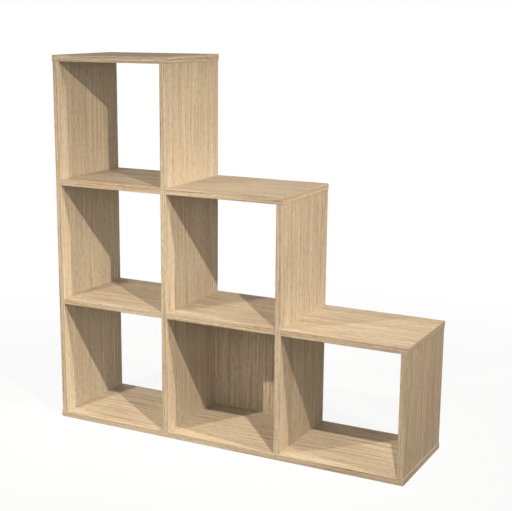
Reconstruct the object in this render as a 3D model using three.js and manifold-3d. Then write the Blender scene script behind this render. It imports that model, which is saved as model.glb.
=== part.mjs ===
// Staircase bookshelf: three columns of square compartments, three, two and one high, open front and back.
// Veneered boards butt against each other. Cam locks and fluted dowels hold the shelves and tops, and
// carcass screws hold the base from below. One board closes the back of the lower middle compartment.
// Millimetres, +Z up, front towards -Y. The origin is on the floor at mid-width and mid-depth.
import * as THREE from "three";
import { mergeVertices } from "three/addons/utils/BufferGeometryUtils.js";
import Module from "manifold-3d";

const wasm = await Module();
wasm.setup();

// Carcass sizes. The base and the tops reach past the outer uprights by endOverhang.
const boardThickness = 18;
const cellWidth = 334;
const cellHeight = 334;
const carcassDepth = 300;
const endOverhang = 1.5;
const easedEdge = 1;
const cellCounts = [3, 2, 1];

// Clearances shared by every fit
const fitGap = 0.3;
const boreSpare = 1;
const cutOverrun = 2;
const woodBehindBore = 6;

// Cam lock, sized outwards from the ball head of its bolt
const boltHeadRadius = 3.5;
const boltNeckRadius = 2;
const boltShaftRadius = 3;
const boltCollarRadius = 3.6;
const boltCollarLength = 2.5;
const boltThreadRadius = 2.7;
const boltTipChamfer = 1.2;
const boltBoreClearance = 0.5;
const headPlay = 1.1;
const camThrow = 1.3;
const camRimWall = 1.3;
const camBaseWall = 0.9;
const camDistance = 34;
const camSlotMargin = 0.6;
const camDriveLength = 8;
const camDriveWidth = 1.6;
const camDriveDepth = 2.2;
const camEntryAngle = THREE.MathUtils.degToRad(150);
const camCoverRim = 1.5;
const camCoverThickness = 0.5;

// Dowels
const dowelRadius = 4;
const dowelFluteDepth = 0.4;
const dowelTipChamfer = 1;
const dowelEndDepth = 19;
const dowelInset = 60;
const backDowelInset = 70;

// Carcass screws
const screwLength = 50;
const screwHeadRadius = 5;
const screwHeadLip = 1;
const screwHeadSunk = 0.5;
const screwShankRadius = 3.5;
const screwShankShort = 3;
const screwThreadRadius = 2.9;
const screwTipLength = 3;
const screwTipRadius = 1.5;
const screwSocketRadius = 2.3;
const screwSocketDepth = 2.5;
const screwInset = 50;

// Facets of round forms
const boreSides = 10;
const camSides = 18;
const boltSides = 8;
const screwSides = 12;
const dowelFlutes = 6;
const socketSides = 6;
const headArcSteps = 4;
const spiralSteps = 7;
const innerArcSteps = 5;

// Sizes that follow from the ones above
const columnPitch = cellWidth + boardThickness;
const levelPitch = cellHeight + boardThickness;
const carcassWidth = cellCounts.length * columnPitch + boardThickness;
const faceBoreDepth = boardThickness - woodBehindBore;
const boltBoreRadius = boltHeadRadius + boltBoreClearance;
const camLockRadius = boltHeadRadius + headPlay;
const camOpenRadius = camLockRadius + camThrow;
const camRadius = camOpenRadius + camRimWall;
const camBoreRadius = camRadius + fitGap;
const camBelowAxis = boltHeadRadius + fitGap + camBaseWall;
const camAboveAxis = boardThickness / 2 - fitGap;
const headOffset = camDistance - camLockRadius + fitGap + boltHeadRadius;
const dowelReach = carcassDepth / 2 - dowelInset;
const backDowelReach = cellWidth / 2 - backDowelInset;
const screwReach = carcassDepth / 2 - screwInset;
const screwConeEnd = screwHeadSunk + screwHeadLip + screwHeadRadius - screwShankRadius;

// Finishes
const oakVeneer = { color: 0xcdb088, roughness: 0.6, metalness: 0 };
const turnedBeech = { color: 0xd9bd92, roughness: 0.75, metalness: 0 };
const castZinc = { color: 0xa9abac, roughness: 0.4, metalness: 0.9 };
const platedSteel = { color: 0xb9bab5, roughness: 0.3, metalness: 1 };

const right = new THREE.Vector3(1, 0, 0);
const left = new THREE.Vector3(-1, 0, 0);
const rearward = new THREE.Vector3(0, 1, 0);
const up = new THREE.Vector3(0, 0, 1);
const down = new THREE.Vector3(0, 0, -1);
const quarterTurn = Math.PI / 2;

const bookshelf = new THREE.Group();
bookshelf.name = "staircase_bookshelf";

// Left face of upright number i, counted from the left
function uprightLeft(i) {
  return i * columnPitch - carcassWidth / 2;
}

function uprightMiddle(i) {
  return uprightLeft(i) + boardThickness / 2;
}

function uprightRight(i) {
  return uprightLeft(i) + boardThickness;
}

// Underside of level number k, where the base is level 0
function levelUnderside(k) {
  return k * levelPitch;
}

function levelMiddle(k) {
  return levelUnderside(k) + boardThickness / 2;
}

// A closed geometry as a solid that can be cut and joined
function solidOf(geometry) {
  const bare = geometry.index ? geometry.toNonIndexed() : geometry.clone();
  bare.deleteAttribute("normal");
  bare.deleteAttribute("uv");
  const merged = mergeVertices(bare);
  const mesh = new wasm.Mesh({
    numProp: 3,
    vertProperties: merged.attributes.position.array,
    triVerts: new Uint32Array(merged.index.array),
  });
  return new wasm.Manifold(mesh);
}

// A solid's faces as a geometry with flat shading
function geometryOf(solid) {
  const faces = solid.getMesh();
  const geometry = new THREE.BufferGeometry();
  geometry.setAttribute("position", new THREE.BufferAttribute(faces.vertProperties, 3));
  geometry.setIndex(new THREE.BufferAttribute(faces.triVerts, 1));
  const flat = geometry.toNonIndexed();
  flat.computeVertexNormals();
  return flat;
}

// A round rod along Z
function rod(radius, from, to, sides) {
  const geometry = new THREE.CylinderGeometry(radius, radius, to - from, sides);
  return geometry.rotateX(quarterTurn).translate(0, 0, (from + to) / 2);
}

// A turned form about Z, from a list of [radius, height] pairs that starts and ends on the axis
function turned(profile, sides) {
  const points = profile.map(([radius, height]) => new THREE.Vector2(radius, height));
  return new THREE.LatheGeometry(points, sides).rotateX(quarterTurn);
}

function pointAt(radius, angle) {
  return new THREE.Vector2(radius * Math.cos(angle), radius * Math.sin(angle));
}

function mapSteps(count, toItem) {
  return Array.from({ length: count }, (_, i) => toItem(i));
}

// Boards have their own frame: X along the grain, Y across it, Z through the thickness.
// Sides that butt against a neighbour are covered and stay square. The others have eased edges.
const boards = new Map();

function addBoard(name, { length, width, centre, along, across, covered }) {
  const through = new THREE.Vector3().crossVectors(along, across);
  const place = new THREE.Matrix4().makeBasis(along, across, through).setPosition(centre);
  boards.set(name, { length, width, place, covered, holes: [], pegs: [] });
}

function plateSolid({ length, width, covered }) {
  const spare = (side) => (covered.includes(side) ? cutOverrun : 0);
  const outline = new THREE.Shape();
  outline.moveTo(-length / 2 - spare("start"), -width / 2 - spare("nearEdge"));
  outline.lineTo(length / 2 + spare("end"), -width / 2 - spare("nearEdge"));
  outline.lineTo(length / 2 + spare("end"), width / 2 + spare("farEdge"));
  outline.lineTo(-length / 2 - spare("start"), width / 2 + spare("farEdge"));
  outline.closePath();
  const plate = new THREE.ExtrudeGeometry(outline, {
    depth: boardThickness - 2 * easedEdge,
    bevelEnabled: true,
    bevelThickness: easedEdge,
    bevelSize: easedEdge,
    bevelOffset: -easedEdge,
    bevelSegments: 1,
  });
  plate.translate(0, 0, easedEdge - boardThickness / 2);
  const trim = new THREE.BoxGeometry(length, width, boardThickness + cutOverrun);
  return solidOf(plate).intersect(solidOf(trim));
}

// Records a hole that a fitting needs in a board
function bore(boardName, geometry, frame) {
  boards.get(boardName).holes.push(geometry.applyMatrix4(frame));
}

// Level boards: the base, the three tops that form the steps, and the shelves between the uprights
function addLevelBoard(name, level, leftEnd, rightEnd, covered) {
  addBoard(name, {
    length: rightEnd - leftEnd,
    width: carcassDepth,
    centre: new THREE.Vector3((leftEnd + rightEnd) / 2, 0, levelMiddle(level)),
    along: right,
    across: rearward,
    covered,
  });
}

function addBaseAndTops() {
  const outerLeft = uprightLeft(0) - endOverhang;
  const outerRight = uprightRight(cellCounts.length) + endOverhang;
  addLevelBoard("base_panel", 0, outerLeft, outerRight, []);
  addLevelBoard("top_panel", cellCounts[0], outerLeft, uprightRight(1) + endOverhang, []);
  ["middle_step_top", "lower_step_top"].forEach((name, i) => {
    const column = i + 1;
    const rightEnd = uprightRight(column + 1) + endOverhang;
    addLevelBoard(name, cellCounts[column], uprightRight(column), rightEnd, ["start"]);
  });
}

function addShelf(name, column, level) {
  addLevelBoard(name, level, uprightRight(column), uprightLeft(column + 1), ["start", "end"]);
}

// Uprights stand on the base and carry the tops
const uprights = [
  { name: "left_side", level: cellCounts[0] },
  { name: "left_divider", level: cellCounts[0] },
  { name: "right_divider", level: cellCounts[1] },
  { name: "right_side", level: cellCounts[2] },
];

function addUpright({ name, level }, i) {
  const foot = boardThickness;
  const head = levelUnderside(level);
  addBoard(name, {
    length: head - foot,
    width: carcassDepth,
    centre: new THREE.Vector3(uprightMiddle(i), 0, (foot + head) / 2),
    along: up,
    across: rearward,
    covered: ["start", "end"],
  });
}

// The back panel fills the lower middle compartment, flush with the rear edges
const backCentre = new THREE.Vector3(
  (uprightRight(1) + uprightLeft(2)) / 2,
  carcassDepth / 2 - boardThickness / 2,
  (boardThickness + levelUnderside(1)) / 2,
);

function addBackPanel() {
  addBoard("back_panel", {
    length: cellHeight,
    width: cellWidth,
    centre: backCentre,
    along: up,
    across: right,
    covered: ["start", "end", "nearEdge", "farEdge"],
  });
}

addBaseAndTops();
addShelf("lower_left_shelf", 0, 1);
addShelf("upper_left_shelf", 0, 2);
addShelf("lower_middle_shelf", 1, 1);
uprights.forEach(addUpright);
addBackPanel();

// Frame on the seam between two boards: Z runs into the board that butts, X to the face its cam opens on
function seamFrame(origin, into, camSide) {
  const across = new THREE.Vector3().crossVectors(into, camSide);
  return new THREE.Matrix4().makeBasis(camSide, across, into).setPosition(origin);
}

function groupAt(frame) {
  const group = new THREE.Group();
  group.applyMatrix4(frame);
  bookshelf.add(group);
  return group;
}

function addPiece(parent, name, geometry, finish) {
  const mesh = new THREE.Mesh(geometry, new THREE.MeshStandardMaterial(finish));
  mesh.name = name;
  parent.add(mesh);
  return mesh;
}

// Cam: a cast disc with a spiral cavity for the bolt's ball head, a slot for its neck, an entry for the
// head in the rim, and a cross recess for the screwdriver. Its axis is Z and the locked bolt comes along X.
const camStopAngle = -Math.asin((boltNeckRadius + fitGap + camSlotMargin) / camLockRadius);

function spiralAngle(i) {
  return camStopAngle + ((camEntryAngle - camStopAngle) * i) / spiralSteps;
}

function cavityOutline() {
  const spiral = mapSteps(spiralSteps + 1, (i) => {
    const opening = Math.max(0, spiralAngle(i)) / camEntryAngle;
    return pointAt(camLockRadius + camThrow * opening, spiralAngle(i));
  });
  const rest = 2 * Math.PI + camStopAngle - camEntryAngle;
  const inner = mapSteps(innerArcSteps, (i) => {
    return pointAt(camLockRadius, camEntryAngle + (rest * (i + 1)) / (innerArcSteps + 1));
  });
  return new THREE.Shape([...spiral, ...inner]);
}

function neckSlotOutline() {
  const rim = mapSteps(spiralSteps + 1, (i) => pointAt(camRadius + cutOverrun, spiralAngle(i)));
  return new THREE.Shape([new THREE.Vector2(0, 0), ...rim]);
}

function layer(outline, halfHeight) {
  const options = { depth: 2 * halfHeight, bevelEnabled: false };
  return solidOf(new THREE.ExtrudeGeometry(outline, options).translate(0, 0, -halfHeight));
}

function camGeometry() {
  const disc = solidOf(rod(camRadius, -camBelowAxis, camAboveAxis, camSides));
  const cavity = layer(cavityOutline(), boltHeadRadius + fitGap);
  const neckSlot = layer(neckSlotOutline(), boltNeckRadius + fitGap);
  const entry = rod(boltHeadRadius + fitGap, 0, camRadius + cutOverrun, boreSides);
  entry.rotateY(quarterTurn).rotateZ(camEntryAngle);
  const drive = new THREE.BoxGeometry(camDriveLength, camDriveWidth, camDriveDepth + cutOverrun);
  drive.translate(0, 0, camAboveAxis + (cutOverrun - camDriveDepth) / 2);
  const crossDrive = drive.clone().rotateZ(quarterTurn);
  const cuts = [cavity, neckSlot, solidOf(entry), solidOf(drive), solidOf(crossDrive)];
  return geometryOf(cuts.reduce((rest, cut) => rest.subtract(cut), disc));
}

// Stick-on cover in the boards' finish, over a cam's bore
function camCoverGeometry() {
  return rod(camBoreRadius + camCoverRim, 0, camCoverThickness, camSides);
}

// Half of a bolt beyond the seam: collar, shaft, neck and ball head, as [radius, height] pairs
function boltBeyondSeam(seam) {
  const neckStart = camDistance - camRadius - fitGap;
  const neckAngle = Math.PI - Math.asin(boltNeckRadius / boltHeadRadius);
  const head = mapSteps(headArcSteps + 1, (i) => {
    const angle = neckAngle * (1 - i / headArcSteps);
    return [boltHeadRadius * Math.sin(angle), seam + headOffset + boltHeadRadius * Math.cos(angle)];
  });
  return [
    [boltCollarRadius, seam + fitGap],
    [boltCollarRadius, seam + boltCollarLength],
    [boltShaftRadius, seam + boltCollarLength],
    [boltShaftRadius, seam + neckStart],
    [boltNeckRadius, seam + neckStart],
    ...head,
  ];
}

// Bolt with a thread that screws into a board's face
function boltGeometry() {
  const threadEnd = fitGap - faceBoreDepth;
  return turned([
    [0, threadEnd],
    [boltThreadRadius - boltTipChamfer, threadEnd],
    [boltThreadRadius, threadEnd + boltTipChamfer],
    [boltThreadRadius, fitGap],
    ...boltBeyondSeam(0),
  ], boltSides);
}

// Bolt with a ball head at each end, which passes through an upright
function doubleBoltGeometry() {
  const farHalf = boltBeyondSeam(boardThickness / 2);
  const nearHalf = farHalf.map(([radius, height]) => [radius, -height]).reverse();
  const shoulder = boardThickness / 2 + fitGap;
  const body = [
    [boltThreadRadius, -shoulder],
    [boltThreadRadius, shoulder],
  ];
  return turned([...nearHalf, ...body, ...farHalf], boltSides);
}

// Fluted dowel along Z with chamfered ends
function dowelGeometry(from, to) {
  const points = mapSteps(2 * dowelFlutes, (i) => {
    const radius = i % 2 === 0 ? dowelRadius : dowelRadius - dowelFluteDepth;
    return pointAt(radius, (i * Math.PI) / dowelFlutes);
  });
  const geometry = new THREE.ExtrudeGeometry(new THREE.Shape(points), {
    depth: to - from - 2 * dowelTipChamfer,
    bevelEnabled: true,
    bevelThickness: dowelTipChamfer,
    bevelSize: dowelTipChamfer,
    bevelOffset: -dowelTipChamfer,
    bevelSegments: 1,
  });
  return geometry.translate(0, 0, from + dowelTipChamfer);
}

// Two dowel holes, towards the front and the rear of a seam
function boreForDowels(boardName, frame, from, to) {
  [-dowelReach, dowelReach].forEach((y) => {
    const hole = rod(dowelRadius + fitGap, from, to, boreSides);
    bore(boardName, hole.translate(0, y, 0), frame);
  });
}

// Holes that a board needs where its end butts against a seam
function boreButtingEnd(boardName, frame) {
  const camFloor = -camBelowAxis - fitGap;
  const camBore = rod(camBoreRadius, camFloor, boardThickness / 2 + cutOverrun, camSides);
  bore(boardName, camBore.rotateY(quarterTurn).translate(0, 0, camDistance), frame);
  bore(boardName, rod(boltBoreRadius, -cutOverrun, camDistance, boreSides), frame);
  boreForDowels(boardName, frame, -cutOverrun, dowelEndDepth + boreSpare);
}

// Holes for a bolt and its dowels through the face that a seam lies on
function boreFace(boardName, frame, from, to) {
  bore(boardName, rod(boltThreadRadius + fitGap, from, to, boreSides), frame);
  boreForDowels(boardName, frame, from, to);
}

function placeCam(group, name) {
  const cam = addPiece(group, name, camGeometry(), castZinc);
  const turn = new THREE.Matrix4().makeBasis(down, rearward, right);
  cam.quaternion.setFromRotationMatrix(turn);
  cam.position.z = camDistance;
}

function placeDowels(group, origin, name, from, to) {
  ["front", "rear"].forEach((end) => {
    const y = end === "front" ? -dowelReach : dowelReach;
    const dowel = addPiece(group, `dowel_${name}_${end}`, dowelGeometry(from, to), turnedBeech);
    dowel.position.copy(group.worldToLocal(origin.clone().setY(y)));
  });
}

// Joint of one butting board on one face: a cam, a screwed-in bolt and two dowels
function joinOnFace({ name, butting, face, origin, into, camSide }) {
  const frame = seamFrame(origin, into, camSide);
  boreButtingEnd(butting, frame);
  boreFace(face, frame, -faceBoreDepth, cutOverrun);
  const group = groupAt(frame);
  placeCam(group, `cam_${name}`);
  addPiece(group, `cam_bolt_${name}`, boltGeometry(), platedSteel);
  placeDowels(group, origin, name, fitGap - faceBoreDepth, dowelEndDepth);
}

// Joint of two boards on the two faces of an upright: two cams on one double bolt, and two long dowels
function joinThroughUpright({ name, leftBoard, rightBoard, number, level }) {
  const seamAt = (x) => new THREE.Vector3(x, 0, levelMiddle(level));
  const leftFrame = seamFrame(seamAt(uprightLeft(number)), left, down);
  const rightFrame = seamFrame(seamAt(uprightRight(number)), right, down);
  const middle = seamAt(uprightMiddle(number));
  const middleFrame = seamFrame(middle, right, down);
  const halfHole = boardThickness / 2 + cutOverrun;
  const halfDowel = boardThickness / 2 + dowelEndDepth;
  boreButtingEnd(leftBoard, leftFrame);
  boreButtingEnd(rightBoard, rightFrame);
  boreFace(uprights[number].name, middleFrame, -halfHole, halfHole);
  placeCam(groupAt(leftFrame), `cam_${name}_left`);
  placeCam(groupAt(rightFrame), `cam_${name}_right`);
  const group = groupAt(middleFrame);
  addPiece(group, `double_cam_bolt_${name}`, doubleBoltGeometry(), platedSteel);
  placeDowels(group, middle, name, -halfDowel, halfDowel);
}

// Tops on the uprights that end under them
[
  { name: "top_on_left_side", face: "top_panel", number: 0, camSide: right },
  { name: "top_on_left_divider", face: "top_panel", number: 1, camSide: left },
  { name: "middle_step_on_right_divider", face: "middle_step_top", number: 2, camSide: left },
  { name: "lower_step_on_right_side", face: "lower_step_top", number: 3, camSide: left },
].forEach(({ name, face, number, camSide }) => {
  const { name: butting, level } = uprights[number];
  const origin = new THREE.Vector3(uprightMiddle(number), 0, levelUnderside(level));
  joinOnFace({ name, butting, face, origin, into: down, camSide });
});

// The cam in the left side faces a viewer in front, so it has a cover
function coverLeftSideCam() {
  const height = levelUnderside(uprights[0].level) - camDistance;
  const onFace = seamFrame(new THREE.Vector3(uprightRight(0), 0, height), right, up);
  addPiece(groupAt(onFace), "cam_cover_left_side", camCoverGeometry(), oakVeneer);
}

coverLeftSideCam();

// Left ends of the left-hand shelves on the left side
["lower_left_shelf", "upper_left_shelf"].forEach((shelf, i) => {
  joinOnFace({
    name: `${shelf}_on_left_side`,
    butting: shelf,
    face: "left_side",
    origin: new THREE.Vector3(uprightRight(0), 0, levelMiddle(i + 1)),
    into: right,
    camSide: down,
  });
});

// Boards that meet on the two faces of a divider
[
  {
    name: "left_divider_low",
    leftBoard: "lower_left_shelf",
    rightBoard: "lower_middle_shelf",
    number: 1,
    level: 1,
  },
  {
    name: "left_divider_high",
    leftBoard: "upper_left_shelf",
    rightBoard: "middle_step_top",
    number: 1,
    level: 2,
  },
  {
    name: "right_divider_low",
    leftBoard: "lower_middle_shelf",
    rightBoard: "lower_step_top",
    number: 2,
    level: 1,
  },
].forEach(joinThroughUpright);

// Carcass screw along Z with its countersunk head at the bottom
function screwGeometry() {
  const shankEnd = boardThickness - screwShankShort;
  const screw = turned([
    [0, screwHeadSunk],
    [screwHeadRadius, screwHeadSunk],
    [screwHeadRadius, screwHeadSunk + screwHeadLip],
    [screwShankRadius, screwConeEnd],
    [screwShankRadius, shankEnd],
    [screwThreadRadius, shankEnd],
    [screwThreadRadius, screwLength - screwTipLength],
    [screwTipRadius, screwLength],
    [0, screwLength],
  ], screwSides);
  const socketEnd = screwHeadSunk + screwSocketDepth;
  const socket = rod(screwSocketRadius, screwHeadSunk - cutOverrun, socketEnd, socketSides);
  return geometryOf(solidOf(screw).subtract(solidOf(socket)));
}

function screwHoleInBase() {
  return turned([
    [0, -cutOverrun],
    [screwHeadRadius + fitGap, -cutOverrun],
    [screwHeadRadius + fitGap, screwHeadSunk + screwHeadLip],
    [screwShankRadius + fitGap, screwConeEnd],
    [screwShankRadius + fitGap, boardThickness + cutOverrun],
    [0, boardThickness + cutOverrun],
  ], screwSides);
}

// Two screws come up through the base into the foot of each upright
uprights.forEach(({ name }, i) => {
  ["front", "rear"].forEach((end) => {
    const y = end === "front" ? -screwReach : screwReach;
    const frame = new THREE.Matrix4().setPosition(uprightMiddle(i), y, 0);
    const threadHole = [boardThickness - cutOverrun, screwLength + boreSpare];
    bore("base_panel", screwHoleInBase(), frame);
    bore(name, rod(screwThreadRadius + fitGap, ...threadHole, boreSides), frame);
    addPiece(groupAt(frame), `base_screw_${name}_${end}`, screwGeometry(), platedSteel);
  });
});

// The back panel has two dowels glued in its bottom end and two in its top end
[
  { board: "base_panel", height: boardThickness, into: down },
  { board: "lower_middle_shelf", height: levelUnderside(1), into: up },
].forEach(({ board, height, into }) => {
  [-backDowelReach, backDowelReach].forEach((x) => {
    const origin = new THREE.Vector3(backCentre.x + x, backCentre.y, height);
    const frame = seamFrame(origin, into, right);
    bore(board, rod(dowelRadius + fitGap, -cutOverrun, faceBoreDepth, boreSides), frame);
    const peg = dowelGeometry(-dowelEndDepth, faceBoreDepth - fitGap);
    boards.get("back_panel").pegs.push(peg.applyMatrix4(frame));
  });
});

// Bores each board, joins its glued dowels and adds it to the bookshelf
boards.forEach(({ place, holes, pegs, ...sizes }, name) => {
  const toBoard = place.clone().invert();
  const local = (geometry) => solidOf(geometry.applyMatrix4(toBoard));
  const bored = holes.reduce((rest, hole) => rest.subtract(local(hole)), plateSolid(sizes));
  const whole = pegs.reduce((rest, peg) => rest.add(local(peg)), bored);
  const board = addPiece(bookshelf, name, geometryOf(whole), oakVeneer);
  board.applyMatrix4(place);
});

export default bookshelf;
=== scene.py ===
import math

import bmesh
import bpy
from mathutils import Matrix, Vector


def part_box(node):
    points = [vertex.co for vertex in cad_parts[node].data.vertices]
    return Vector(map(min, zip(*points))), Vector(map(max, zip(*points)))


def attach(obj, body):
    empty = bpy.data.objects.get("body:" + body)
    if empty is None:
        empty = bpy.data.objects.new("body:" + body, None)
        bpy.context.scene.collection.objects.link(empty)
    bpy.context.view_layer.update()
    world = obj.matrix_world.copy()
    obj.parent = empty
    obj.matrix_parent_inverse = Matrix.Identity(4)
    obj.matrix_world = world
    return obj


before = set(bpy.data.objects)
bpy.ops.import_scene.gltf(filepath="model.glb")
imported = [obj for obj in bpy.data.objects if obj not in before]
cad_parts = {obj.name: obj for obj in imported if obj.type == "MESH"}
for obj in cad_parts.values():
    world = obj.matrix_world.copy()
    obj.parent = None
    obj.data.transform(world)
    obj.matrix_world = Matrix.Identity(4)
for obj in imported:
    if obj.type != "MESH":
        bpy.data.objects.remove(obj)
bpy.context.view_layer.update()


# Base panel: the full-width bottom board that all four uprights stand on. It is an 18 mm chipboard
# core with pale oak veneer on both faces and oak edging all round, its arrises lightly eased, and
# eight screws come up through it into the uprights.

def swatch(red, green, blue):
    """The linear colour of a finish sample written in levels of 0 to 255."""
    return tuple(((level / 255 + 0.055) / 1.055) ** 2.4 for level in (red, green, blue)) + (1.0,)


def lay(tree, kind, sockets=None, **settings):
    """Lays one node in a tree; each socket takes a value, or the output that feeds it."""
    node = tree.nodes.new(kind)
    for name, value in settings.items():
        setattr(node, name, value)
    for name, value in (sockets or {}).items():
        if isinstance(value, bpy.types.NodeSocket):
            tree.links.new(value, node.inputs[name])
        else:
            node.inputs[name].default_value = value
    return node


def reckon(tree, operation, *values):
    """One sum on plain numbers that change over the surface."""
    return lay(tree, "ShaderNodeMath", dict(enumerate(values)), operation=operation).outputs[0]


def steer(tree, operation, *values):
    """One sum on directions or places."""
    node = lay(tree, "ShaderNodeVectorMath", dict(enumerate(values)), operation=operation)
    return node.outputs["Value" if operation in ("DOT_PRODUCT", "LENGTH") else "Vector"]


def join(tree, x, y, z):
    """A direction or a place made of three numbers."""
    return lay(tree, "ShaderNodeCombineXYZ", {"X": x, "Y": y, "Z": z}).outputs["Vector"]


def split(tree, vector):
    """The three numbers of a direction or a place."""
    return lay(tree, "ShaderNodeSeparateXYZ", {"Vector": vector}).outputs


def ease(tree, value, start, end):
    """A mask that runs smoothly from 0 at start to 1 at end."""
    sockets = {"Value": value, "From Min": start, "From Max": end}
    return lay(tree, "ShaderNodeMapRange", sockets, interpolation_type="SMOOTHSTEP").outputs["Result"]


def blend(tree, share, under, over):
    """One plain number turned into another, by a mask."""
    return lay(tree, "ShaderNodeMix", {0: share, 2: under, 3: over}).outputs[0]


def stain(tree, strength, under, over):
    """One colour laid over another, by a mask."""
    return lay(tree, "ShaderNodeMix", {0: strength, 6: under, 7: over}, data_type="RGBA").outputs[2]


def streaks(tree, place, stretch, detail=1.0, roughness=0.5):
    """Cloudy markings, stretched to so many to the metre in each direction."""
    spread = steer(tree, "MULTIPLY", place, stretch)
    sockets = {"Vector": spread, "Scale": 1.0, "Detail": detail, "Roughness": roughness}
    return lay(tree, "ShaderNodeTexNoise", sockets).outputs["Fac"]


def marks(tree, place, stretch, start, end, detail=1.0, roughness=0.5):
    """A mask of streaks: they begin to show at one depth of the cloud and are full at another."""
    return ease(tree, streaks(tree, place, stretch, detail, roughness), start, end)


def effect(name, inputs, outputs):
    """An empty node group with named inputs and outputs."""
    tree = bpy.data.node_groups.new(name, "ShaderNodeTree")
    for label, kind in inputs.items():
        tree.interface.new_socket(label, in_out="INPUT", socket_type="NodeSocket" + kind)
    for label, kind in outputs.items():
        tree.interface.new_socket(label, in_out="OUTPUT", socket_type="NodeSocket" + kind)
    return tree, lay(tree, "NodeGroupInput").outputs, lay(tree, "NodeGroupOutput").inputs


def oak_sheet():
    """Quarter-cut oak veneer: each face of a board gets its own sheet, the lines along the grain."""
    tree, given, made = effect(
        "oak_sheet",
        {"Place": "Vector", "Face": "Vector", "Grain": "Vector", "Sheet": "Float",
         "Lines to the metre": "Float", "Line strength": "Float",
         "Sapwood": "Color", "Heartwood": "Color", "Latewood": "Color", "Pore": "Color"},
        {"Colour": "Color", "Roughness": "Float", "Height": "Float"})
    square_on = 0.75
    depthways = (0, 1, 0)
    sheet_steps = (3.1, 5.7, 9.3)

    # Directions on this face. An end that the grain runs into has edging with grain of its own.
    facing = reckon(tree, "ABSOLUTE", steer(tree, "DOT_PRODUCT", given["Face"], given["Grain"]))
    on_end = reckon(tree, "GREATER_THAN", facing, square_on)
    directions = {0: on_end, 4: given["Grain"], 5: depthways}
    along = lay(tree, "ShaderNodeMix", directions, data_type="VECTOR").outputs[1]
    across = steer(tree, "CROSS_PRODUCT", given["Face"], along)
    length = steer(tree, "DOT_PRODUCT", given["Place"], along)
    width = steer(tree, "DOT_PRODUCT", given["Place"], across)
    cut = reckon(tree, "ADD", given["Sheet"], steer(tree, "DOT_PRODUCT", given["Face"], sheet_steps))
    sides = split(tree, steer(tree, "ABSOLUTE", given["Face"]))
    on_front = reckon(tree, "GREATER_THAN", sides["Y"], square_on)
    on_level = reckon(tree, "GREATER_THAN", sides["Z"], square_on)

    # The lines wander a few millimetres as the tree grew, and lie wider apart on level faces.
    wander_width = 0.006
    closeness_on_level = 0.65
    line_breaks_to_the_metre = 1.7
    hairs_to_a_line = (2.4, 1.9, 1)
    wander = streaks(tree, join(tree, length, width, cut), stretch=(1.2, 9, 1), detail=2)
    grown = join(tree, length, reckon(tree, "MULTIPLY_ADD", wander, wander_width, width), cut)
    closeness = blend(tree, on_level, 1.0, closeness_on_level)
    to_the_metre = reckon(tree, "MULTIPLY", given["Lines to the metre"], closeness)
    line_stretch = join(tree, line_breaks_to_the_metre, to_the_metre, 1.0)
    hair_stretch = steer(tree, "MULTIPLY", line_stretch, hairs_to_a_line)
    bands = marks(tree, grown, stretch=(1.4, 42, 1), detail=2, start=0.3, end=0.7)
    lines = marks(tree, grown, stretch=line_stretch, roughness=0.6, start=0.46, end=0.64)
    hairs = marks(tree, grown, stretch=hair_stretch, start=0.55, end=0.63)
    pores = marks(tree, grown, stretch=(60, 3400, 1), start=0.6, end=0.7)
    dashes = marks(tree, grown, stretch=(50, 430, 1), start=0.47, end=0.69)
    flecks = marks(tree, grown, stretch=(50, 300, 1), start=0.5, end=0.75)

    # Front edges and level faces show their lines more.
    bold_on_walls, bold_elsewhere = 1.05, 1.2
    off_walls = reckon(tree, "ADD", on_front, on_level)
    boldness = blend(tree, off_walls, bold_on_walls, bold_elsewhere)
    strength = reckon(tree, "MULTIPLY", given["Line strength"], boldness)
    wood = stain(tree, bands, given["Sapwood"], given["Heartwood"])
    for marking, share, tint in (
            (reckon(tree, "MULTIPLY", lines, strength), 0.75, "Latewood"),
            (reckon(tree, "MULTIPLY", hairs, strength), 0.9, "Pore"),
            (flecks, 0.25, "Sapwood"),
            (dashes, 0.3, "Pore"),
            (pores, 0.45, "Pore")):
        wood = stain(tree, reckon(tree, "MULTIPLY", marking, share), wood, given[tint])

    line_openness = 0.3
    sanded, roughness_of_pores = 0.62, 0.1
    open_grain = reckon(tree, "MULTIPLY_ADD", lines, line_openness, pores)
    roughness = reckon(tree, "MULTIPLY_ADD", open_grain, roughness_of_pores, sanded)
    tree.links.new(wood, made["Colour"])
    tree.links.new(roughness, made["Roughness"])
    tree.links.new(reckon(tree, "MULTIPLY", open_grain, -1.0), made["Height"])
    return tree


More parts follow.
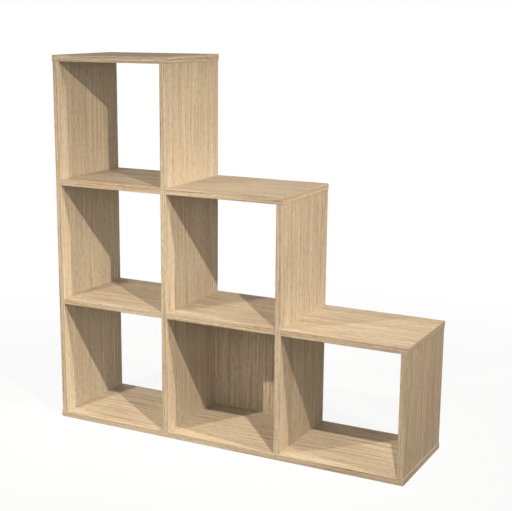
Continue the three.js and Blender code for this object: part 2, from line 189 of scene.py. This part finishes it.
def board_edges():
    """How far a spot is from a board's arrises and faces: worn edge, glue line, and cut core."""
    tree, given, made = effect(
        "board_edges",
        {"Place": "Vector", "Low corner": "Vector", "High corner": "Vector", "Eased width": "Float"},
        {"Wear": "Float", "Glue line": "Float", "Core": "Float"})
    veneer_thickness, core_edge = 0.0007, 0.0001
    steady_wear, full_wear = 0.4, 1.0
    glue_line_place = 1.1
    from_low = steer(tree, "SUBTRACT", given["Place"], given["Low corner"])
    from_high = steer(tree, "SUBTRACT", given["High corner"], given["Place"])
    depths = split(tree, steer(tree, "MINIMUM", from_low, from_high))
    least = reckon(tree, "MINIMUM", depths["X"], depths["Y"])
    most = reckon(tree, "MAXIMUM", depths["X"], depths["Y"])
    to_edge = reckon(tree, "MAXIMUM", least, reckon(tree, "MINIMUM", most, depths["Z"]))
    to_face = reckon(tree, "MINIMUM", least, depths["Z"])
    edge = reckon(tree, "DIVIDE", to_edge, given["Eased width"])
    patches = marks(tree, given["Place"], stretch=(30, 30, 30), detail=3, start=0.3, end=0.7)
    rubbed = reckon(tree, "SUBTRACT", 1.0, ease(tree, edge, start=0.5, end=1.5))
    wear = reckon(tree, "MULTIPLY", rubbed, blend(tree, patches, steady_wear, full_wear))
    beside = reckon(tree, "ABSOLUTE", reckon(tree, "SUBTRACT", edge, glue_line_place))
    glue_line = reckon(tree, "SUBTRACT", 1.0, ease(tree, beside, start=0.1, end=0.25))
    core = ease(tree, to_face, start=veneer_thickness, end=veneer_thickness + core_edge)
    tree.links.new(wear, made["Wear"])
    tree.links.new(glue_line, made["Glue line"])
    tree.links.new(core, made["Core"])
    return tree


def pressed_chips():
    """The chipboard core that shows on the walls of a bore."""
    tree, given, made = effect(
        "pressed_chips",
        {"Place": "Vector", "Chip": "Color", "Bark": "Color"},
        {"Colour": "Color", "Height": "Float"})
    chips_to_the_metre = 900.0
    bark_share = 0.7
    sockets = {"Vector": given["Place"], "Scale": chips_to_the_metre, "Randomness": 1.0}
    chips = lay(tree, "ShaderNodeTexVoronoi", sockets).outputs
    tone = lay(tree, "ShaderNodeSeparateColor", {"Color": chips["Color"]}).outputs["Red"]
    dark = reckon(tree, "MULTIPLY", ease(tree, tone, start=0.35, end=0.95), bark_share)
    tree.links.new(stain(tree, dark, given["Chip"], given["Bark"]), made["Colour"])
    tree.links.new(chips["Distance"], made["Height"])
    return tree


oak_sheet_effect = oak_sheet()
board_edges_effect = board_edges()
pressed_chips_effect = pressed_chips()


def new_finish(name):
    """A new material with its nodes, its shader and the place on the piece, in metres."""
    material = bpy.data.materials.new(name)
    material.use_nodes = True
    tree = material.node_tree
    place = lay(tree, "ShaderNodeTexCoord").outputs["Object"]
    return material, tree, tree.nodes["Principled BSDF"], place


def coat(tree, shader, colour, roughness, height, depth, strength):
    """Gives a shader its colour, its roughness and a relief of so many metres."""
    relief = lay(tree, "ShaderNodeBump", {"Strength": strength, "Distance": depth, "Height": height})
    tree.links.new(colour, shader.inputs["Base Color"])
    tree.links.new(roughness, shader.inputs["Roughness"])
    tree.links.new(relief.outputs["Normal"], shader.inputs["Normal"])


def veneered_board(board, grain, sheet, strength=0.6):
    """Gives a board its own oak veneer, cut from its own sheet, over a chipboard core."""
    eased_width = 0.001
    rubbed_oak, rubbed_share = swatch(232, 210, 176), 0.35
    glue, glue_share = swatch(150, 118, 84), 0.35
    # A paler grey that bounced light picks up in place of the oak: painted light that lightens the
    # shade.
    painted_bounce_oak, painted_bounce_share = swatch(203, 201, 198), 0.88
    core_roughness = 0.35
    material, tree, shader, place = new_finish("oak_veneer_" + board)
    low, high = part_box(board)
    face = lay(tree, "ShaderNodeNewGeometry").outputs["True Normal"]
    veneer = lay(tree, "ShaderNodeGroup", node_tree=oak_sheet_effect, sockets={
        "Place": place, "Face": face, "Grain": grain, "Sheet": sheet,
        "Lines to the metre": 420.0, "Line strength": strength,
        "Sapwood": swatch(228, 207, 171), "Heartwood": swatch(221, 196, 160),
        "Latewood": swatch(190, 152, 116), "Pore": swatch(132, 84, 57)}).outputs
    edges = lay(tree, "ShaderNodeGroup", node_tree=board_edges_effect, sockets={
        "Place": place, "Low corner": low, "High corner": high, "Eased width": eased_width}).outputs
    chips = lay(tree, "ShaderNodeGroup", node_tree=pressed_chips_effect, sockets={
        "Place": place, "Chip": swatch(196, 166, 124), "Bark": swatch(112, 82, 54)}).outputs
    worn = reckon(tree, "MULTIPLY", edges["Wear"], rubbed_share)
    glued = reckon(tree, "MULTIPLY", edges["Glue line"], glue_share)
    wood = stain(tree, worn, veneer["Colour"], rubbed_oak)
    wood = stain(tree, glued, wood, glue)
    wood = stain(tree, edges["Core"], wood, chips["Colour"])

    # Light that one board passes on to the next is paler than the board, as in the picture's shade.
    # Painted light: bounce rays see a paler grey instead of the board's own colour, so the shade in
    # the cells comes out lighter and less orange than the board would make it.
    bounced = lay(tree, "ShaderNodeLightPath").outputs["Is Diffuse Ray"]
    wood = stain(tree, reckon(tree, "MULTIPLY", bounced, painted_bounce_share), wood, painted_bounce_oak)
    roughness = reckon(tree, "MULTIPLY_ADD", edges["Core"], core_roughness, veneer["Roughness"])
    height = blend(tree, edges["Core"], veneer["Height"], chips["Height"])
    coat(tree, shader, wood, roughness, height, depth=0.0002, strength=0.35)
    shader.inputs["Specular IOR Level"].default_value = 0.12
    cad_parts[board].material_slots[0].material = material


lengthways = (1, 0, 0)
veneered_board("base_panel", lengthways, sheet=1.7)


# Uprights: the left side and left divider are three cells high, the right divider two and the right
# side one. They are the same veneered chipboard as the base with the grain standing up, and two
# screws come up through the base into the foot of each.

upwards = (0, 0, 1)
veneered_board("left_side", upwards, sheet=14.9)
veneered_board("left_divider", upwards, sheet=25.9)
veneered_board("right_divider", upwards, sheet=37.2)
veneered_board("right_side", upwards, sheet=48.6)


# Tops: one veneered chipboard board closes each column. The middle one butts against the left divider
# and the lower one against the right divider. Each is dowelled and drawn tight by cam bolts, so that
# no fixing shows.

veneered_board("top_panel", lengthways, sheet=61.4)
veneered_board("middle_step_top", lengthways, sheet=73.8)
veneered_board("lower_step_top", lengthways, sheet=85.1, strength=0.45)


# Shelves: fixed boards between the uprights, two in the tall column and one in the middle one. Cams
# in their undersides draw them tight on bolts in the uprights, and dowels carry the load.

veneered_board("lower_left_shelf", lengthways, sheet=96.5)
veneered_board("upper_left_shelf", lengthways, sheet=108.2)
veneered_board("lower_middle_shelf", lengthways, sheet=119.7, strength=0.7)


# Back panel: an inset board of the same veneered chipboard that closes the lower middle cell and
# keeps the whole unit square. Glued dowels in its ends sit in the base and the shelf above.

veneered_board("back_panel", upwards, sheet=131.3, strength=0.5)


# Dowels: 8 mm fluted beech pins on both sides of each cam bolt, 60 mm in from the front and the back.
# They line the boards up, and are turned, with flutes pressed in so that air can leave the hole.

lie_of_pin = {lengthways: "lying", upwards: "standing"}


def along_its_length(node):
    """The direction in which a pin, bolt or screw lies."""
    low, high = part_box(node)
    sides = high - low
    return lengthways if sides.x > sides.z else upwards


def stretched(direction, along, across):
    """So many markings to the metre along a pin that lies this way, and so many across it."""
    return (along, across, across) if direction == lengthways else (across, across, along)


def beech(direction):
    """Steamed beech with short dark rays along the pin."""
    ray_share = 0.6
    smooth, rough = 0.52, 0.67
    material, tree, shader, place = new_finish("beech_" + lie_of_pin[direction])
    rays = marks(tree, place, stretched(direction, 240, 1500), start=0.58, end=0.7)
    tone = marks(tree, place, stretched(direction, 20, 300), detail=2, start=0.3, end=0.7)
    wood = stain(tree, tone, swatch(214, 178, 136), swatch(196, 156, 114))
    wood = stain(tree, reckon(tree, "MULTIPLY", rays, ray_share), wood, swatch(150, 106, 70))
    roughness = blend(tree, rays, smooth, rough)
    coat(tree, shader, wood, roughness, reckon(tree, "ADD", rays, tone), depth=0.0001, strength=0.4)
    return material


beech_pins = {direction: beech(direction) for direction in lie_of_pin}
for name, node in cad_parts.items():
    if name.startswith("dowel_"):
        node.material_slots[0].material = beech_pins[along_its_length(name)]


# Cam locks: die-cast zinc cams in 15 mm bores, turned with a cross driver. Inside each one a curved
# track takes the ball head of a bolt and draws the joint tight as it turns.

def metal_skin():
    """The skin of cast or plated metal: a grain, duller clouds, and bright rubbed spots."""
    tree, given, made = effect(
        "metal_skin",
        {"Place": "Vector", "Grain stretch": "Vector", "Metal": "Color", "Dulled": "Color",
         "Smooth": "Float", "Rough": "Float"},
        {"Colour": "Color", "Roughness": "Float", "Height": "Float"})
    grain = streaks(tree, given["Place"], given["Grain stretch"], detail=3)
    clouds = marks(tree, given["Place"], stretch=(260, 260, 260), detail=2, start=0.35, end=0.65)
    rubbed = marks(tree, given["Place"], stretch=(700, 700, 700), start=0.6, end=0.75)
    dull = reckon(tree, "MULTIPLY", clouds, reckon(tree, "SUBTRACT", 1.0, rubbed))
    furred = reckon(tree, "MULTIPLY", grain, dull)
    tree.links.new(stain(tree, dull, given["Metal"], given["Dulled"]), made["Colour"])
    tree.links.new(blend(tree, furred, given["Smooth"], given["Rough"]), made["Roughness"])
    tree.links.new(grain, made["Height"])
    return tree


metal_skin_effect = metal_skin()


def metal(name, stretch, bright, dulled, smooth, rough, depth):
    """A metal finish with its own grain."""
    material, tree, shader, place = new_finish(name)
    skin = lay(tree, "ShaderNodeGroup", node_tree=metal_skin_effect, sockets={
        "Place": place, "Grain stretch": stretch, "Metal": bright, "Dulled": dulled,
        "Smooth": smooth, "Rough": rough}).outputs
    coat(tree, shader, skin["Colour"], skin["Roughness"], skin["Height"], depth, strength=0.3)
    shader.inputs["Metallic"].default_value = 1.0
    return material


cast_zinc = metal(
    "cast_zinc", stretch=(1900, 1900, 1900), bright=swatch(196, 197, 196),
    dulled=swatch(150, 151, 152), smooth=0.32, rough=0.62, depth=0.0001)
for name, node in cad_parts.items():
    if name.startswith("cam_") and not name.startswith(("cam_bolt_", "cam_cover_")):
        node.material_slots[0].material = cast_zinc


# Cam bolts and base screws: turned steel with bright zinc plating. The ball-headed bolts screw into a
# board's face or pass through a divider, and the 7 x 50 mm screws hold the base to the uprights.

def turned_steel(direction):
    """Plated steel with faint turning rings round the pin."""
    return metal(
        "plated_steel_" + lie_of_pin[direction], stretch=stretched(direction, 2600, 180),
        bright=swatch(214, 214, 208), dulled=swatch(176, 176, 170),
        smooth=0.2, rough=0.42, depth=0.00005)


steel_pins = {direction: turned_steel(direction) for direction in lie_of_pin}
for name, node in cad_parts.items():
    if name.startswith(("cam_bolt_", "double_cam_bolt_", "base_screw_")):
        node.material_slots[0].material = steel_pins[along_its_length(name)]


# Cam covers: stick-on discs of printed oak foil, 18 mm across and half a millimetre thick, over the
# cams in the heads of the uprights. The left side has its cover already, and the other three uprights
# get one each.

def cover_finish(cover, sheet):
    """The printed oak foil of a cover, its grain standing like the upright's."""
    material, tree, shader, place = new_finish("oak_foil_" + cover.name)
    face = lay(tree, "ShaderNodeNewGeometry").outputs["True Normal"]
    foil = lay(tree, "ShaderNodeGroup", node_tree=oak_sheet_effect, sockets={
        "Place": place, "Face": face, "Grain": upwards, "Sheet": sheet,
        "Lines to the metre": 380.0, "Line strength": 0.55,
        "Sapwood": swatch(227, 206, 170), "Heartwood": swatch(219, 194, 158),
        "Latewood": swatch(190, 151, 114), "Pore": swatch(137, 91, 62)}).outputs
    coat(tree, shader, foil["Colour"], foil["Roughness"], foil["Height"],
         depth=0.0001, strength=0.2)
    shader.inputs["Specular IOR Level"].default_value = 0.35
    if cover.material_slots:
        cover.material_slots[0].material = material
    else:
        cover.data.materials.append(material)


def stick_on_cover(name, upright, radius, thickness, below_head):
    """A thin disc with a rolled rim, on an upright's left face."""
    low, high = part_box(upright)
    centre = Vector((low.x, 0, high.z - below_head))
    facets = 48
    # How far in from the rim, and how far out from the board, as shares of the thickness
    rim_shares = [(0, 0), (0, 0.4), (0.08, 0.7), (0.35, 0.92), (0.8, 1)]
    disc = bmesh.new()
    rings = []
    for inset, rise in rim_shares:
        reach = radius - inset * thickness
        ring = []
        for step in range(facets):
            turn = math.tau * step / facets
            offset = (-rise * thickness, reach * math.cos(turn), reach * math.sin(turn))
            ring.append(disc.verts.new(centre + Vector(offset)))
        rings.append(ring)
    for inner, outer in zip(rings, rings[1:]):
        for step in range(facets):
            after = (step + 1) % facets
            disc.faces.new((inner[step], inner[after], outer[after], outer[step]))
    disc.faces.new(rings[0])
    disc.faces.new(rings[-1])
    bmesh.ops.recalc_face_normals(disc, faces=disc.faces)
    mesh = bpy.data.meshes.new(name)
    disc.to_mesh(mesh)
    disc.free()
    cover = bpy.data.objects.new(name, mesh)
    bpy.context.scene.collection.objects.link(cover)
    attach(cover, "root")
    return cover


cover_low, cover_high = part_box("cam_cover_left_side")
cover_radius = (cover_high.z - cover_low.z) / 2
cover_thickness = cover_high.x - cover_low.x
cam_below_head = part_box("left_side")[1].z - (cover_low.z + cover_high.z) / 2
cover_finish(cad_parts["cam_cover_left_side"], sheet=140.5)
for upright, sheet in (("left_divider", 151.5), ("right_divider", 162.5), ("right_side", 173.5)):
    cover = stick_on_cover("cover_" + upright, upright, cover_radius, cover_thickness, cam_below_head)
    cover_finish(cover, sheet)


# Studio: the camera, a pale floor and a white room. Three small lamps in front and at the right throw
# the shadows that cross the cells, a broad one softens them and one lights the back. Their light
# doesn't weaken with distance, and the room is dimmer overhead.

picture_width, picture_height = 512, 511
focal_length_in_pixels = 1114.8
picture_centre = Vector((208.94, 264.98))
camera_tilt, camera_turn = math.radians(12.564), math.radians(28.955)
camera_data = bpy.data.cameras.new("camera")
camera_data.sensor_width = 36.0
camera_data.lens = focal_length_in_pixels / picture_width * camera_data.sensor_width
camera_data.shift_x = (picture_width / 2 - picture_centre.x) / picture_width
camera_data.shift_y = (picture_centre.y - picture_height / 2) / picture_width
camera = bpy.data.objects.new("camera", camera_data)
camera.location = (1.3956, -2.7304, 1.1794)
camera.rotation_euler = (math.pi / 2 - camera_tilt, 0, camera_turn)
bpy.context.scene.collection.objects.link(camera)
bpy.context.scene.camera = camera


def studio_lamp(name, place, aim, level, cone, radius, colour=(1.0, 0.99, 0.97)):
    """A soft-edged lamp whose light, square on to a white card, renders at the given level."""
    data = bpy.data.lights.new(name, "SPOT")
    data.color = colour
    data.energy = level * 4 * math.pi ** 2
    data.spot_size = math.radians(cone)
    data.spot_blend = 1.0
    data.shadow_soft_size = radius
    data.use_nodes = True
    tree = data.node_tree
    even = lay(tree, "ShaderNodeLightFalloff", {"Strength": 1.0}).outputs["Constant"]
    tree.links.new(even, tree.nodes["Emission"].inputs["Strength"])
    lamp = bpy.data.objects.new(name, data)
    lamp.location = place
    lamp.rotation_euler = (Vector(aim) - Vector(place)).to_track_quat("-Z", "Y").to_euler()
    bpy.context.scene.collection.objects.link(lamp)
    return lamp


small_bulb = 0.008
studio_lamp(
    "front_right_lamp", place=(0.845, -0.905, 1.508), aim=(0.03, -0.15, 0.36),
    level=0.61, cone=90, radius=small_bulb)
studio_lamp(
    "front_left_lamp", place=(-0.715, -1.08, 1.14), aim=(-0.38, -0.15, 0.51),
    level=0.505, cone=84, radius=small_bulb)
studio_lamp(
    "side_lamp", place=(1.855, -0.385, 1.545), aim=(0.715, -0.15, 0.825),
    level=0.468, cone=53, radius=small_bulb)
studio_lamp(
    "fill_lamp", place=(1.2, -2.9, 1.5), aim=(-0.4, 0.0, 0.8),
    level=0.12, cone=40, radius=0.4, colour=(0.85, 0.97, 1.1))
back_lamp = studio_lamp(
    "back_lamp", place=(-2.1, 1.95, 0.5), aim=(0.0, 0.1, 0.5),
    level=0.5, cone=70, radius=0.25, colour=(0.95, 0.99, 1.02))
back_lamp.visible_glossy = False

level_glow, glow_lost_overhead = 0.52, 0.5
room = bpy.data.worlds.new("room")
room.use_nodes = True
bpy.context.scene.world = room
tree = room.node_tree
tree.nodes.clear()
path = lay(tree, "ShaderNodeLightPath").outputs
mirrored = reckon(tree, "MAXIMUM", path["Is Glossy Ray"], path["Is Transmission Ray"])
seen = reckon(tree, "MAXIMUM", path["Is Camera Ray"], mirrored)
direction = lay(tree, "ShaderNodeTexCoord").outputs["Generated"]
rise = reckon(tree, "MAXIMUM", split(tree, direction)["Z"], 0.0)
glow = reckon(tree, "MULTIPLY_ADD", rise, -glow_lost_overhead, level_glow)
room_light = {"Color": (0.96, 0.99, 1.02, 1), "Strength": glow}
white = {"Color": (1, 1, 1, 1), "Strength": 1.0}
dim_air = lay(tree, "ShaderNodeBackground", room_light).outputs[0]
white_air = lay(tree, "ShaderNodeBackground", white).outputs[0]
air = lay(tree, "ShaderNodeMixShader", {0: seen, 1: dim_air, 2: white_air}).outputs[0]
lay(tree, "ShaderNodeOutputWorld", {"Surface": air})

floor_reach = 14.0
floor_gap = 0.0002
corners = [(-1, -1), (1, -1), (1, 1), (-1, 1)]
floor_sheet = bmesh.new()
floor_sheet.faces.new([
    floor_sheet.verts.new((x * floor_reach, y * floor_reach, -floor_gap)) for x, y in corners])
floor_mesh = bpy.data.meshes.new("floor")
floor_sheet.to_mesh(floor_mesh)
floor_sheet.free()
floor = bpy.data.objects.new("floor", floor_mesh)
bpy.context.scene.collection.objects.link(floor)

# The floor shows its shadows near the shelf and clears to white further out.
clear_near, clear_far = 0.9, 1.0
pale_floor, tree, shader, place = new_finish("pale_floor")
shader.inputs["Roughness"].default_value = 0.9
shader.inputs["Specular IOR Level"].default_value = 0.1
path = lay(tree, "ShaderNodeLightPath").outputs
from_middle = steer(tree, "LENGTH", steer(tree, "MULTIPLY", place, (1, 1, 0)))
away = ease(tree, from_middle, start=0.7, end=2.0)
cleared = blend(tree, away, clear_near, clear_far)
clearing = reckon(tree, "MULTIPLY", path["Is Camera Ray"], cleared)
grey_for_light, pale_for_camera = swatch(140, 140, 138), swatch(232, 230, 226)
tone = stain(tree, path["Is Camera Ray"], grey_for_light, pale_for_camera)
tree.links.new(tone, shader.inputs["Base Color"])
bright = lay(tree, "ShaderNodeEmission", white).outputs[0]
laid = lay(tree, "ShaderNodeMixShader", {0: clearing, 1: shader.outputs[0], 2: bright}).outputs[0]
tree.links.new(laid, tree.nodes["Material Output"].inputs["Surface"])
floor_mesh.materials.append(pale_floor)

bpy.context.scene.view_settings.view_transform = "Standard"
